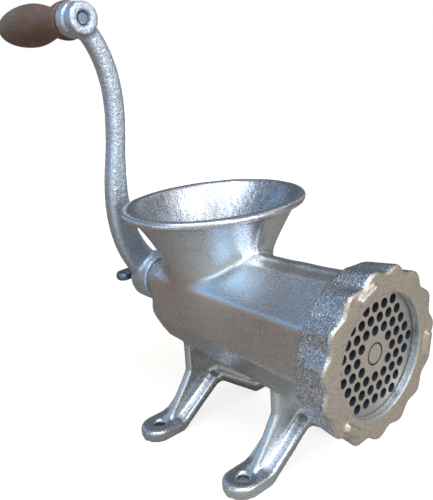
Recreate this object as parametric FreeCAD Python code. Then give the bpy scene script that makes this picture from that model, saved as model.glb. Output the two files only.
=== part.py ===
import FreeCAD, Part
import math
import os

# Hand crank meat grinder. Millimetres, +Z up, +X from the crank towards the plate.
# The origin is on the table, at the centre of the four foot holes.

V = FreeCAD.Vector
X_AXIS = V(1, 0, 0)

# Clearances
FLAT_GAP = 0.1          # between flat faces that bear on each other
RUN_GAP = 0.06          # radial, shaft in its bearing
SLIP_GAP = 0.3          # between curved faces of pieces that move past each other
FIT_GAP = 0.02          # radial, piece seated in its hole
OVERCUT = 1.0           # how far a cut runs past the face it opens

# Stand and feet
AXIS_HEIGHT = 110.0
FOOT_SPACING_X = 103.0
FOOT_SPACING_Y = 119.0
FOOT_HOLE_RADIUS = 4.7
FOOT_WIDTH = 28.5
FOOT_THICKNESS = 9.5
FOOT_TOE = 16.0         # from the hole's centre to the end of the foot
FOOT_HEEL = 42.0        # from the middle of the arch to where the foot's top turns up
ARCH_HALF_SPAN = 42.0   # from the middle of the arch to where it meets the table
ARCH_APEX = 30.0        # height of the arch's underside
ARCH_CROWN = 9.0        # thickness of the strip at its middle
WEB_THICKNESS = 8.0
WEB_HALF_WIDTH = 25.0
WEB_TOE = 52.0          # from the middle of the arch to the end of the web
WEB_SHOULDER = 45.0     # height where the web's free edge turns outwards
WEB_BOW = 1.2           # how far that edge bows inwards

# Barrel
BARREL_REAR_X = -70.0
BARREL_LENGTH = 189.0
BARREL_REAR_WALL = 9.0       # bore to crease, at the rear
BARREL_FRONT_WALL = 9.5
BARREL_CREASES = (30, 88, 110, 150, 190, 230, 270, 310, 350)  # degrees, from +Y towards +Z
CREASE_ROUND = 5.0
REAR_EDGE_ROUND = 6.0
REAR_WALL = 8.0
BORE_REAR_RADIUS = 36.0
BORE_FRONT_RADIUS = 43.5
MOUTH_WALL = 3.7             # threaded mouth, outside the plate's seat
MOUTH_LENGTH = 15.0
BOSS_WALL = 8.0
BOSS_LENGTH = 30.0
BOSS_ROUND = 2.5

# Hopper, an oval funnel
RIM_HEIGHT = 85.5            # above the barrel's axis
RIM_X = -29.0
RIM_HALF_X = 63.0
RIM_HALF_Y = 76.0
NECK_HEIGHT = 25.0           # above the barrel's axis
NECK_X = -33.0
NECK_HALF_X = 46.0
NECK_HALF_Y = 39.0
HOPPER_WALL = 4.5
HOPPER_FLARE = 1.5           # how late the funnel opens out
HOPPER_SECTIONS = 5
OVAL_POINTS = 16             # points that an oval's curve runs through
THROAT_DRAFT = 8.0           # how much the throat narrows below the neck
LIP_HEIGHT = 6.5
LIP_PROUD = 2.8
LIP_ROUND = 2.4

# Plate, key and screw ring
PLATE_LAND = 6.5             # plate's edge outside the bore
PLATE_THICKNESS = 10.0
PLATE_SEAT_DEPTH = 5.5
PLATE_BORE_RADIUS = 7.8
PLATE_HOLE_RADIUS = 3.6
PLATE_HOLE_PITCH = 9.6
KEY_RADIUS = 2.5
KEY_LENGTH = 10.0
RING_LENGTH = 25.5
RING_LIP = 6.3
RING_OVERLAP = 7.0           # lip over the plate's edge
RING_WALL = 2.8              # at the valleys of the scallops
RING_WAVE = 2.2              # half the height of the scallops
RING_REAR_WAVE = 0.4
RING_REAR_WALL = 3.3
RING_LOBES = 15
RING_LOBE_ANGLE = 75.0       # where one lobe stands, from +Y towards +Z
LOBE_POINTS = 4              # points that a lobe's curve runs through
RING_EDGE = 1.5
BAR_COUNT = 3
BAR_ANGLE = 110.0
BAR_INSET = 5.5              # from the ring's opening
BAR_LENGTH = 18.0
BAR_WIDTH = 6.0
BAR_HEIGHT = 3.0
BAR_ROUND = 1.4

# Feed screw, stud and knife
SCREW_CORE_RADIUS = 15.0
SCREW_FLIGHT_GAP = 0.8
SCREW_PITCH = 46.0
SCREW_FLIGHT = 7.0           # thickness of the flight at its root
SCREW_FLIGHT_TIP = 4.6
FLIGHT_ROOT = 3.0            # how deep the flight is rooted in the core
FLIGHT_STEPS = 12            # sections of the flight per turn
SHANK_RADIUS = 13.0
SHANK_SQUARE = 17.0
STUD_SQUARE = 14.0
STUD_SHANK_RADIUS = 6.0
STUD_SHANK_LENGTH = 24.0
STUD_END_RADIUS = 7.2
KNIFE_THICKNESS = 11.0
KNIFE_TIP_GAP = 1.8          # between an arm's tip and the bore
KNIFE_HUB_RADIUS = 14.0
KNIFE_ARM_WIDTH = 13.0
KNIFE_ARM_SWEEP = 6.0        # how far an arm's tip trails
KNIFE_ARMS = 4
THRUST_WASHER_THICKNESS = 3.0
THRUST_WASHER_WIDTH = 8.0
BUSH_WALL = 3.0
COLLAR_WIDTH = 6.0
COLLAR_LENGTH = 7.8

# Crank
HUB_RADIUS = 22.0
HUB_LENGTH = 24.0
HUB_ROUND = 2.5
ARM_THICKNESS = 14.5
ARM_ROOT_WIDTH = 28.0
ARM_WIDTH = 15.5
ARM_TAPER = 0.5              # share of the arm's length over which it narrows
ARM_ROUND = 5.0
CRANK_RISE = 227.5           # height of the grip's axis above the barrel's axis
CRANK_LEAN = -48.5           # sideways place of the grip's axis
ARM_ROOT = (-7.0, 11.0)      # arm's middle line, sideways and up from the hub's centre
ARM_HEEL = (-27.0, 49.0)
ARM_LOW_BEND = (-30.5, 77.0)
ARM_HIGH_BEND = (-23.0, 166.0)
ARM_NECK = (-31.5, 203.0)
TOP_BOSS_RADIUS = 12.5
TOP_COLLAR_RADIUS = 14.5
TOP_BOSS_PROUD = 6.0         # in front of the arm
TOP_COLLAR_PROUD = 0.6       # behind the arm
TOP_HOLE_RADIUS = 6.0
TOP_HOLE_DEPTH = 5.0

# Wing screw
SCREW_THREAD_RADIUS = 5.0
SCREW_THREAD_LENGTH = 18.0
SCREW_TIP_GAP = 2.0          # left at the bottom of the tapped hole
SCREW_WASHER_RADIUS = 15.0
SCREW_WASHER_THICKNESS = 2.5
WING_NECK_RADIUS = 9.0
WING_NECK_LENGTH = 4.5
WING_REACH = 26.5
WING_DEPTH = 15.0
WING_THICKNESS = 7.5
WING_ROUND = 2.4
WING_LIFT = -2.0             # degrees, the wings at rest

# Grip
SPINDLE_RADIUS = 4.2
SPINDLE_HEAD_PROUD = 1.8     # head's edge outside the pin
SPINDLE_HEAD = 3.0
SPINDLE_HEAD_ROUND = 2.2
SPINDLE_RECESS = 2.5         # from the top boss's hole floor to the pin's end
GRIP_WASHER_RADIUS = 13.0
GRIP_WASHER_THICKNESS = 2.0
END_WASHER_WIDTH = 2.2
END_WASHER_THICKNESS = 1.5
GRIP_LENGTH = 121.0
GRIP_FLANGE_RADIUS = 15.5
GRIP_NECK_RADIUS = 12.6
GRIP_BULB_RADIUS = 18.2
GRIP_TIP_WALL = 2.3          # wood round the bore at the grip's end
GRIP_EDGE_ROUND = 2.5
GRIP_NECK_FROM_FRONT = 20.0
GRIP_BULB_FROM_FRONT = 66.0

# Radii that follow from those
BARREL_REAR_RADIUS = BORE_REAR_RADIUS + BARREL_REAR_WALL
BARREL_FRONT_RADIUS = BORE_FRONT_RADIUS + BARREL_FRONT_WALL
PLATE_RADIUS = BORE_FRONT_RADIUS + PLATE_LAND
MOUTH_RADIUS = PLATE_RADIUS + SLIP_GAP + MOUTH_WALL
THREAD_RADIUS = MOUTH_RADIUS + SLIP_GAP
RING_OPENING_RADIUS = PLATE_RADIUS - RING_OVERLAP
RING_MEAN_RADIUS = THREAD_RADIUS + RING_WALL + RING_WAVE
RING_REAR_RADIUS = THREAD_RADIUS + RING_REAR_WALL + RING_REAR_WAVE
BUSH_RADIUS = SHANK_RADIUS + RUN_GAP + BUSH_WALL
BOSS_RADIUS = BUSH_RADIUS + BOSS_WALL
THRUST_WASHER_RADIUS = SHANK_RADIUS + THRUST_WASHER_WIDTH
COLLAR_RADIUS = SHANK_RADIUS + COLLAR_WIDTH
END_WASHER_RADIUS = SPINDLE_RADIUS + END_WASHER_WIDTH
GRIP_BORE_RADIUS = SPINDLE_RADIUS + RUN_GAP
GRIP_TIP_RADIUS = GRIP_BORE_RADIUS + GRIP_TIP_WALL

# Stations along the axis
MOUTH_X = BARREL_REAR_X + BARREL_LENGTH
PLATE_BACK_X = MOUTH_X - PLATE_SEAT_DEPTH + FLAT_GAP
PLATE_FRONT_X = PLATE_BACK_X + PLATE_THICKNESS
RING_FRONT_X = PLATE_FRONT_X + FLAT_GAP + RING_LIP
RING_REAR_X = RING_FRONT_X - RING_LENGTH
KNIFE_FRONT_X = PLATE_BACK_X - FLAT_GAP
KNIFE_BACK_X = KNIFE_FRONT_X - KNIFE_THICKNESS
SCREW_FRONT_X = KNIFE_BACK_X - FLAT_GAP
BORE_REAR_X = BARREL_REAR_X + REAR_WALL
SCREW_REAR_X = BORE_REAR_X + THRUST_WASHER_THICKNESS + 2 * FLAT_GAP
BOSS_REAR_X = BARREL_REAR_X - BOSS_LENGTH
COLLAR_FRONT_X = BOSS_REAR_X - FLAT_GAP
HUB_FRONT_X = COLLAR_FRONT_X - COLLAR_LENGTH
HUB_REAR_X = HUB_FRONT_X - HUB_LENGTH
SHANK_REAR_X = HUB_REAR_X + FLAT_GAP
ARM_FRONT_X = HUB_REAR_X + ARM_THICKNESS
GRIP_Y = CRANK_LEAN
GRIP_Z = AXIS_HEIGHT + CRANK_RISE
TOP_FRONT_X = ARM_FRONT_X + TOP_BOSS_PROUD
TOP_REAR_X = HUB_REAR_X - TOP_COLLAR_PROUD
GRIP_FRONT_X = TOP_REAR_X - GRIP_WASHER_THICKNESS - 2 * FLAT_GAP
GRIP_REAR_X = GRIP_FRONT_X - GRIP_LENGTH
FOOT_ROWS = (-FOOT_SPACING_X / 2, FOOT_SPACING_X / 2)


def rod(radius, x0, x1, y=0.0, z=AXIS_HEIGHT):
    """Round bar along X."""
    return Part.makeCylinder(radius, abs(x1 - x0), V(min(x0, x1), y, z), X_AXIS)


def taper(radius0, radius1, x0, x1):
    """Round tapered bar along the barrel's axis."""
    return Part.makeCone(radius0, radius1, x1 - x0, V(x0, 0, AXIS_HEIGHT), X_AXIS)


def square_rod(side, x0, x1):
    """Square bar along the barrel's axis."""
    corner = V(x0, -side / 2, AXIS_HEIGHT - side / 2)
    return Part.makeBox(x1 - x0, side, side, corner)


def slab(outline, x0, x1):
    """Solid from a closed outline at x0, drawn out along X to x1."""
    return Part.Face(outline).extrude(V(x1 - x0, 0, 0))


def smooth_loop(points):
    """Closed smooth wire through points."""
    curve = Part.BSplineCurve()
    curve.interpolate(points, PeriodicFlag=True)
    return Part.Wire(curve.toShape())


def edges_along_x(shape, spots):
    """Edges parallel to X that pass through the given (y, z) spots."""
    found = []
    for edge in shape.Edges:
        box = edge.BoundBox
        if box.YLength > 1e-4 or box.ZLength > 1e-4:
            continue
        if any(math.hypot(box.YMin - y, box.ZMin - z) < 1e-3 for y, z in spots):
            found.append(edge)
    return found


def edges_at_x(shape, x):
    """Edges that lie in the plane at x."""
    return [e for e in shape.Edges if abs(e.BoundBox.XMin - x) + abs(e.BoundBox.XMax - x) < 1e-3]


def save(name, shape):
    """Write one piece."""
    solid = shape.removeSplitter()
    print(name, solid.isValid(), len(solid.Solids), round(solid.Volume / 1000, 2))
    solid.exportStep("parts/" + name + ".step")


def barrel_section(x, radius):
    """Faceted section of the barrel with soft corners."""
    turns = [math.radians(angle) for angle in BARREL_CREASES]
    corners = [V(x, radius * math.cos(t), AXIS_HEIGHT + radius * math.sin(t)) for t in turns]
    stops = []
    for k, corner in enumerate(corners):
        behind = (corners[k - 1] - corner).normalize()
        ahead = (corners[(k + 1) % len(corners)] - corner).normalize()
        half_angle = behind.getAngle(ahead) / 2
        inset = CREASE_ROUND / math.tan(half_angle)
        depth = CREASE_ROUND / math.sin(half_angle) - CREASE_ROUND
        middle = corner + (behind + ahead).normalize() * depth
        stops.append((corner + behind * inset, middle, corner + ahead * inset))
    edges = []
    for k, (start, middle, end) in enumerate(stops):
        edges.append(Part.Arc(start, middle, end).toShape())
        edges.append(Part.LineSegment(end, stops[(k + 1) % len(stops)][0]).toShape())
    return Part.Wire(edges)


def barrel_outside():
    """Tapered faceted barrel with soft creases and a round rear edge."""
    front_x = MOUTH_X - MOUTH_LENGTH / 2
    rear = barrel_section(BARREL_REAR_X, BARREL_REAR_RADIUS)
    front = barrel_section(front_x, BARREL_FRONT_RADIUS)
    solid = Part.makeLoft([rear, front], True, True)
    cap = taper(BARREL_REAR_RADIUS, BARREL_FRONT_RADIUS, BARREL_REAR_X, front_x)
    cap = cap.makeFillet(REAR_EDGE_ROUND, edges_at_x(cap, BARREL_REAR_X))
    return solid.common(cap)


def oval(x, half_x, half_y, z):
    """Oval wire in a level plane."""
    turns = [2 * math.pi * k / OVAL_POINTS for k in range(OVAL_POINTS)]
    return smooth_loop([V(x + half_x * math.cos(t), half_y * math.sin(t), z) for t in turns])


def funnel(inset):
    """Solid funnel from the neck to the rim, drawn in by inset."""
    rise = RIM_HEIGHT - NECK_HEIGHT
    wires = []
    for k in range(HOPPER_SECTIONS):
        share = k / (HOPPER_SECTIONS - 1)
        open_share = share ** HOPPER_FLARE
        x = NECK_X + (RIM_X - NECK_X) * share
        half_x = NECK_HALF_X + (RIM_HALF_X - NECK_HALF_X) * open_share - inset
        half_y = NECK_HALF_Y + (RIM_HALF_Y - NECK_HALF_Y) * open_share - inset
        z = AXIS_HEIGHT + NECK_HEIGHT + rise * share
        wires.append(oval(x, half_x, half_y, z))
    return Part.makeLoft(wires, True, False)


def throat():
    """Way down from the hopper's neck into the barrel's bore."""
    half_x = NECK_HALF_X - HOPPER_WALL
    half_y = NECK_HALF_Y - HOPPER_WALL
    low = oval(NECK_X, half_x - THROAT_DRAFT, half_y - THROAT_DRAFT, AXIS_HEIGHT)
    high = oval(NECK_X, half_x, half_y, AXIS_HEIGHT + NECK_HEIGHT)
    return Part.makeLoft([low, high], True, True)


def lip():
    """Rounded band round the hopper's rim."""
    z = AXIS_HEIGHT + RIM_HEIGHT
    face = Part.Face(oval(RIM_X, RIM_HALF_X + LIP_PROUD, RIM_HALF_Y + LIP_PROUD, z - LIP_HEIGHT))
    band = face.extrude(V(0, 0, LIP_HEIGHT))
    level = [e for e in band.Edges if e.BoundBox.ZLength < 1e-3]
    return band.makeFillet(LIP_ROUND, level)


def foot_plan(x):
    """Plan of one arch: a strip with round toes."""
    toe_round = FOOT_WIDTH / 2
    reach = FOOT_SPACING_Y / 2 + FOOT_TOE - toe_round
    block = Part.makeBox(FOOT_WIDTH, 2 * reach, AXIS_HEIGHT, V(x - toe_round, -reach, 0))
    for y in (-reach, reach):
        block = block.fuse(Part.makeCylinder(toe_round, AXIS_HEIGHT, V(x, y, 0)))
    return block


def leg_arch(x):
    """One pair of legs: an arched strip with feet, and the web that carries the barrel."""
    toe = FOOT_SPACING_Y / 2 + FOOT_TOE
    crown = ARCH_APEX + ARCH_CROWN
    half = [(toe, 0), (toe, FOOT_THICKNESS), (FOOT_HEEL, FOOT_THICKNESS), (0, crown)]
    under = [(-ARCH_HALF_SPAN, 0), (0, ARCH_APEX), (ARCH_HALF_SPAN, 0)]
    ring = half + [(-y, z) for y, z in reversed(half[:-1])] + under
    x0 = x - FOOT_WIDTH / 2
    corners = [V(x0, y, z) for y, z in ring]
    strip = slab(Part.makePolygon(corners + corners[:1]), x0, x0 + FOOT_WIDTH)
    heels = [(FOOT_HEEL, FOOT_THICKNESS), (-FOOT_HEEL, FOOT_THICKNESS)]
    bends = [(0, crown), (0, ARCH_APEX)] + heels
    strip = strip.makeFillet(FOOT_THICKNESS, edges_along_x(strip, bends))
    strip = strip.common(foot_plan(x))

    x0 = x - WEB_THICKNESS / 2
    low = FOOT_THICKNESS / 2
    top = AXIS_HEIGHT - BORE_REAR_RADIUS
    middle_y = (WEB_TOE + WEB_HALF_WIDTH) / 2 - WEB_BOW
    middle_z = (FOOT_THICKNESS + WEB_SHOULDER) / 2
    right = [V(x0, WEB_HALF_WIDTH, top), V(x0, WEB_HALF_WIDTH, WEB_SHOULDER)]
    left = [V(p.x, -p.y, p.z) for p in right]
    foot_r = V(x0, WEB_TOE, FOOT_THICKNESS)
    foot_l = V(x0, -WEB_TOE, FOOT_THICKNESS)
    crown_mid = V(x0, 0, ARCH_APEX + ARCH_CROWN / 2)
    low_r = V(x0, WEB_TOE, low)
    low_l = V(x0, -WEB_TOE, low)
    edges = [
        Part.LineSegment(left[0], right[0]).toShape(),
        Part.LineSegment(right[0], right[1]).toShape(),
        Part.Arc(right[1], V(x0, middle_y, middle_z), foot_r).toShape(),
        Part.LineSegment(foot_r, low_r).toShape(),
        Part.LineSegment(low_r, crown_mid).toShape(),
        Part.LineSegment(crown_mid, low_l).toShape(),
        Part.LineSegment(low_l, foot_l).toShape(),
        Part.Arc(foot_l, V(x0, -middle_y, middle_z), left[1]).toShape(),
        Part.LineSegment(left[1], left[0]).toShape(),
    ]
    web = slab(Part.Wire(edges), x0, x0 + WEB_THICKNESS)
    return strip.fuse(web)


def grinder_body():
    """The casting: barrel, threaded mouth, rear boss, hopper and legs, bored through."""
    boss = rod(BOSS_RADIUS, BOSS_REAR_X, BORE_REAR_X)
    boss = boss.makeFillet(BOSS_ROUND, edges_at_x(boss, BOSS_REAR_X))
    mouth = rod(MOUTH_RADIUS, MOUTH_X - MOUTH_LENGTH, MOUTH_X)
    legs = [leg_arch(x) for x in FOOT_ROWS]
    body = barrel_outside().fuse([mouth, boss, funnel(0), lip()] + legs)

    seat = rod(PLATE_RADIUS + SLIP_GAP, MOUTH_X - PLATE_SEAT_DEPTH, MOUTH_X + OVERCUT)
    bore = taper(BORE_REAR_RADIUS, BORE_FRONT_RADIUS, BORE_REAR_X, MOUTH_X)
    bush_hole = rod(BUSH_RADIUS + FIT_GAP, BOSS_REAR_X - OVERCUT, BORE_REAR_X + OVERCUT)
    cuts = [bore, seat, bush_hole, key_pin(FIT_GAP), funnel(HOPPER_WALL), throat()]
    for x in FOOT_ROWS:
        for y in (-FOOT_SPACING_Y / 2, FOOT_SPACING_Y / 2):
            cuts.append(Part.makeCylinder(FOOT_HOLE_RADIUS, WEB_SHOULDER, V(x, y, -OVERCUT)))
    return body.cut(cuts)


def key_pin(gap):
    """Pin in the floor of the plate's seat, half in the barrel and half in the plate."""
    x0 = MOUTH_X - KEY_LENGTH
    return rod(KEY_RADIUS + gap, x0, MOUTH_X, 0, AXIS_HEIGHT - PLATE_RADIUS)


def grinding_plate():
    """Round plate with staggered holes, a centre bore and a notch for the key."""
    plate = rod(PLATE_RADIUS, PLATE_BACK_X, PLATE_FRONT_X)
    ends = (PLATE_BACK_X - OVERCUT, PLATE_FRONT_X + OVERCUT)
    cuts = [rod(PLATE_BORE_RADIUS, *ends)]
    cuts.append(rod(KEY_RADIUS + SLIP_GAP, *ends, 0, AXIS_HEIGHT - PLATE_RADIUS))
    row_step = PLATE_HOLE_PITCH * math.sqrt(3) / 2
    nearest = PLATE_BORE_RADIUS + 2 * PLATE_HOLE_RADIUS
    furthest = RING_OPENING_RADIUS - PLATE_HOLE_RADIUS
    rows = math.ceil(furthest / row_step)
    for row in range(-rows, rows + 1):
        for place in range(-2 * rows, 2 * rows + 1):
            y = PLATE_HOLE_PITCH * (place + row / 2)
            z = row_step * row
            if nearest < math.hypot(y, z) < furthest:
                cuts.append(rod(PLATE_HOLE_RADIUS, *ends, y, AXIS_HEIGHT + z))
    return plate.cut(cuts)


def scalloped_loop(x, mean, wave):
    """Wavy outline of the screw ring at x."""
    points = []
    count = LOBE_POINTS * RING_LOBES
    for k in range(count):
        turn = math.radians(RING_LOBE_ANGLE) + 2 * math.pi * k / count
        radius = mean + wave * math.cos(2 * math.pi * k / LOBE_POINTS)
        points.append(V(x, radius * math.cos(turn), AXIS_HEIGHT + radius * math.sin(turn)))
    return smooth_loop(points)


def ring_bar(angle):
    """Raised bar on the ring's face, for a spanner or a bump of the hand."""
    corner = V(RING_FRONT_X - RING_LIP / 2, RING_OPENING_RADIUS + BAR_INSET, -BAR_LENGTH / 2)
    bar = Part.makeBox(BAR_HEIGHT + RING_LIP / 2, BAR_WIDTH, BAR_LENGTH, corner)
    top = RING_FRONT_X + BAR_HEIGHT
    bar = bar.makeFillet(BAR_ROUND, [e for e in bar.Edges if e.BoundBox.XMax > top - 1e-3])
    bar.rotate(V(0, 0, 0), X_AXIS, angle)
    bar.translate(V(0, 0, AXIS_HEIGHT))
    return bar


def ring_nut():
    """Scalloped screw ring with an inward lip over the plate's edge."""
    outlines = [
        scalloped_loop(RING_REAR_X, RING_REAR_RADIUS, RING_REAR_WAVE),
        scalloped_loop(RING_FRONT_X - RING_EDGE, RING_MEAN_RADIUS, RING_WAVE),
        scalloped_loop(RING_FRONT_X, RING_MEAN_RADIUS - RING_EDGE, RING_WAVE),
    ]
    ring = Part.makeLoft(outlines, True, True)
    bars = [ring_bar(BAR_ANGLE + 360 * k / BAR_COUNT) for k in range(BAR_COUNT)]
    ring = ring.fuse(bars)
    thread = rod(THREAD_RADIUS, RING_REAR_X - OVERCUT, RING_FRONT_X - RING_LIP)
    opening = rod(RING_OPENING_RADIUS, RING_REAR_X, RING_FRONT_X + BAR_HEIGHT + OVERCUT)
    return ring.cut([thread, opening])


def cross_knife():
    """Knife with trailing arms and a square hole."""
    reach = bore_radius(KNIFE_BACK_X) - KNIFE_TIP_GAP
    arm_ends = [
        V(KNIFE_BACK_X, 0, -KNIFE_ARM_WIDTH / 2),
        V(KNIFE_BACK_X, reach, -KNIFE_ARM_WIDTH / 2 - KNIFE_ARM_SWEEP),
        V(KNIFE_BACK_X, reach, KNIFE_ARM_WIDTH / 2 - KNIFE_ARM_SWEEP),
        V(KNIFE_BACK_X, 0, KNIFE_ARM_WIDTH / 2),
    ]
    arm = slab(Part.makePolygon(arm_ends + arm_ends[:1]), KNIFE_BACK_X, KNIFE_FRONT_X)
    arm.translate(V(0, 0, AXIS_HEIGHT))
    arms = []
    for k in range(KNIFE_ARMS):
        turned = arm.copy()
        turned.rotate(V(0, 0, AXIS_HEIGHT), X_AXIS, 360 * k / KNIFE_ARMS)
        arms.append(turned)
    knife = rod(KNIFE_HUB_RADIUS, KNIFE_BACK_X, KNIFE_FRONT_X).fuse(arms)
    knife = knife.common(rod(reach, KNIFE_BACK_X, KNIFE_FRONT_X))
    ends = (KNIFE_BACK_X - OVERCUT, KNIFE_FRONT_X + OVERCUT)
    return knife.cut(square_rod(STUD_SQUARE + 2 * FLAT_GAP, *ends))


def knife_stud():
    """Stud in the feed screw's nose: threaded shank, square for the knife, round end."""
    shank = rod(STUD_SHANK_RADIUS, SCREW_FRONT_X - STUD_SHANK_LENGTH, SCREW_FRONT_X)
    square = square_rod(STUD_SQUARE, SCREW_FRONT_X, KNIFE_FRONT_X)
    end = rod(STUD_END_RADIUS, KNIFE_FRONT_X, PLATE_FRONT_X - FLAT_GAP)
    return shank.fuse([square, end])


def bore_radius(x):
    """Radius of the barrel's tapered bore at x."""
    share = (x - BORE_REAR_X) / (MOUTH_X - BORE_REAR_X)
    return BORE_REAR_RADIUS + (BORE_FRONT_RADIUS - BORE_REAR_RADIUS) * share


def flight():
    """Helical flight of the feed screw, from its shoulder to its nose."""
    run = SCREW_FRONT_X - SCREW_REAR_X - SCREW_FLIGHT
    steps = round(FLIGHT_STEPS * run / SCREW_PITCH)
    root = SCREW_CORE_RADIUS - FLIGHT_ROOT
    sections = []
    for k in range(steps + 1):
        x = SCREW_REAR_X + SCREW_FLIGHT / 2 + run * k / steps
        turn = 2 * math.pi * (x - SCREW_REAR_X) / SCREW_PITCH
        tip = bore_radius(x) - SCREW_FLIGHT_GAP
        corners = [(root, -SCREW_FLIGHT / 2), (tip, -SCREW_FLIGHT_TIP / 2),
                   (tip, SCREW_FLIGHT_TIP / 2), (root, SCREW_FLIGHT / 2)]
        points = [V(x + along, r * math.cos(turn), AXIS_HEIGHT + r * math.sin(turn))
                  for r, along in corners]
        sections.append(Part.makePolygon(points + points[:1]))
    return Part.makeLoft(sections, True, False)


def feed_screw():
    """Feed screw: core with flight, shoulder, round shank and square end."""
    core = rod(SCREW_CORE_RADIUS, SCREW_REAR_X, SCREW_FRONT_X)
    shoulder = rod(THRUST_WASHER_RADIUS, SCREW_REAR_X, SCREW_REAR_X + SCREW_FLIGHT)
    shank = rod(SHANK_RADIUS, HUB_FRONT_X, SCREW_REAR_X)
    square = square_rod(SHANK_SQUARE, SHANK_REAR_X, HUB_FRONT_X)
    screw = core.fuse([flight(), shoulder, shank, square])
    stud_x = SCREW_FRONT_X - STUD_SHANK_LENGTH
    stud_hole = rod(STUD_SHANK_RADIUS + FIT_GAP, stud_x, SCREW_FRONT_X + OVERCUT)
    tapped_x = SHANK_REAR_X + SCREW_THREAD_LENGTH
    tapped = rod(SCREW_THREAD_RADIUS + SLIP_GAP, SHANK_REAR_X - OVERCUT, tapped_x)
    return screw.cut([stud_hole, tapped])


def sleeve(inner, outer, x0, x1, y=0.0, z=AXIS_HEIGHT):
    """Plain ring or sleeve along X."""
    return rod(outer, x0, x1, y, z).cut(rod(inner, x0 - OVERCUT, x1 + OVERCUT, y, z))


def arm_outline(x):
    """Outline of the curved arm, as wide as the hub allows at its root."""
    line = [ARM_ROOT, ARM_HEEL, ARM_LOW_BEND, ARM_HIGH_BEND, ARM_NECK, (CRANK_LEAN, CRANK_RISE)]
    middle = Part.BSplineCurve()
    middle.interpolate([V(x, y, AXIS_HEIGHT + z) for y, z in line])
    first, last = middle.FirstParameter, middle.LastParameter
    steps = 2 * len(line)
    left, right = [], []
    for k in range(steps + 1):
        share = k / steps
        spot = middle.value(first + (last - first) * share)
        along = middle.tangent(first + (last - first) * share)[0]
        narrowing = min(1, share / ARM_TAPER)
        width = ARM_ROOT_WIDTH + (ARM_WIDTH - ARM_ROOT_WIDTH) * narrowing
        across = V(0, -along.z, along.y) * (width / 2)
        left.append(spot + across)
        right.append(spot - across)
    sides = []
    for points in (left, right):
        side = Part.BSplineCurve()
        side.interpolate(points)
        sides.append(side.toShape())
    ends = [Part.LineSegment(left[k], right[k]).toShape() for k in (0, -1)]
    return Part.Wire(Part.__sortEdges__(sides + ends))


def crank_arm():
    """Cast crank: hub with a square hole, curved arm and top boss."""
    arm = slab(arm_outline(HUB_REAR_X), HUB_REAR_X, ARM_FRONT_X)
    long_edges = [e for e in arm.Edges if e.Length > CRANK_RISE / 2]
    arm = arm.makeFillet(ARM_ROUND, long_edges)
    hub = rod(HUB_RADIUS, HUB_REAR_X, HUB_FRONT_X)
    hub = hub.makeFillet(HUB_ROUND, edges_at_x(hub, HUB_REAR_X) + edges_at_x(hub, HUB_FRONT_X))
    boss = Part.makeCone(TOP_COLLAR_RADIUS, TOP_BOSS_RADIUS, TOP_FRONT_X - TOP_REAR_X,
                         V(TOP_REAR_X, GRIP_Y, GRIP_Z), X_AXIS)
    square = square_rod(SHANK_SQUARE + 2 * FLAT_GAP, HUB_REAR_X - OVERCUT, HUB_FRONT_X + OVERCUT)
    open_x = TOP_FRONT_X + OVERCUT
    mouth = rod(TOP_HOLE_RADIUS, TOP_FRONT_X - TOP_HOLE_DEPTH, open_x, GRIP_Y, GRIP_Z)
    pin_hole = rod(SPINDLE_RADIUS + FIT_GAP, TOP_REAR_X - OVERCUT, open_x, GRIP_Y, GRIP_Z)
    return arm.fuse([hub, boss]).cut([square, mouth, pin_hole])


def wing_screw():
    """Screw with two wings."""
    seat_x = HUB_REAR_X - SCREW_WASHER_THICKNESS - 2 * FLAT_GAP
    neck_x = seat_x - WING_NECK_LENGTH
    thread_x = SHANK_REAR_X + SCREW_THREAD_LENGTH - SCREW_TIP_GAP
    thread = rod(SCREW_THREAD_RADIUS, neck_x, thread_x)
    tip_round = WING_DEPTH / 2
    middle_x = neck_x - tip_round
    neck = rod(WING_NECK_RADIUS, middle_x, seat_x)
    reach = WING_REACH - tip_round
    low = AXIS_HEIGHT - WING_THICKNESS / 2
    wings = Part.makeBox(WING_DEPTH, 2 * reach, WING_THICKNESS, V(middle_x - tip_round, -reach, low))
    tips = [Part.makeCylinder(tip_round, WING_THICKNESS, V(middle_x, y, low)) for y in (-reach, reach)]
    wings = wings.fuse(tips).removeSplitter()
    level = [e for e in wings.Edges if e.BoundBox.ZLength < 1e-3]
    wings = wings.makeFillet(WING_ROUND, level)
    wings.rotate(V(0, 0, AXIS_HEIGHT), X_AXIS, -WING_LIFT)
    return thread.fuse([neck, wings])


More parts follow.
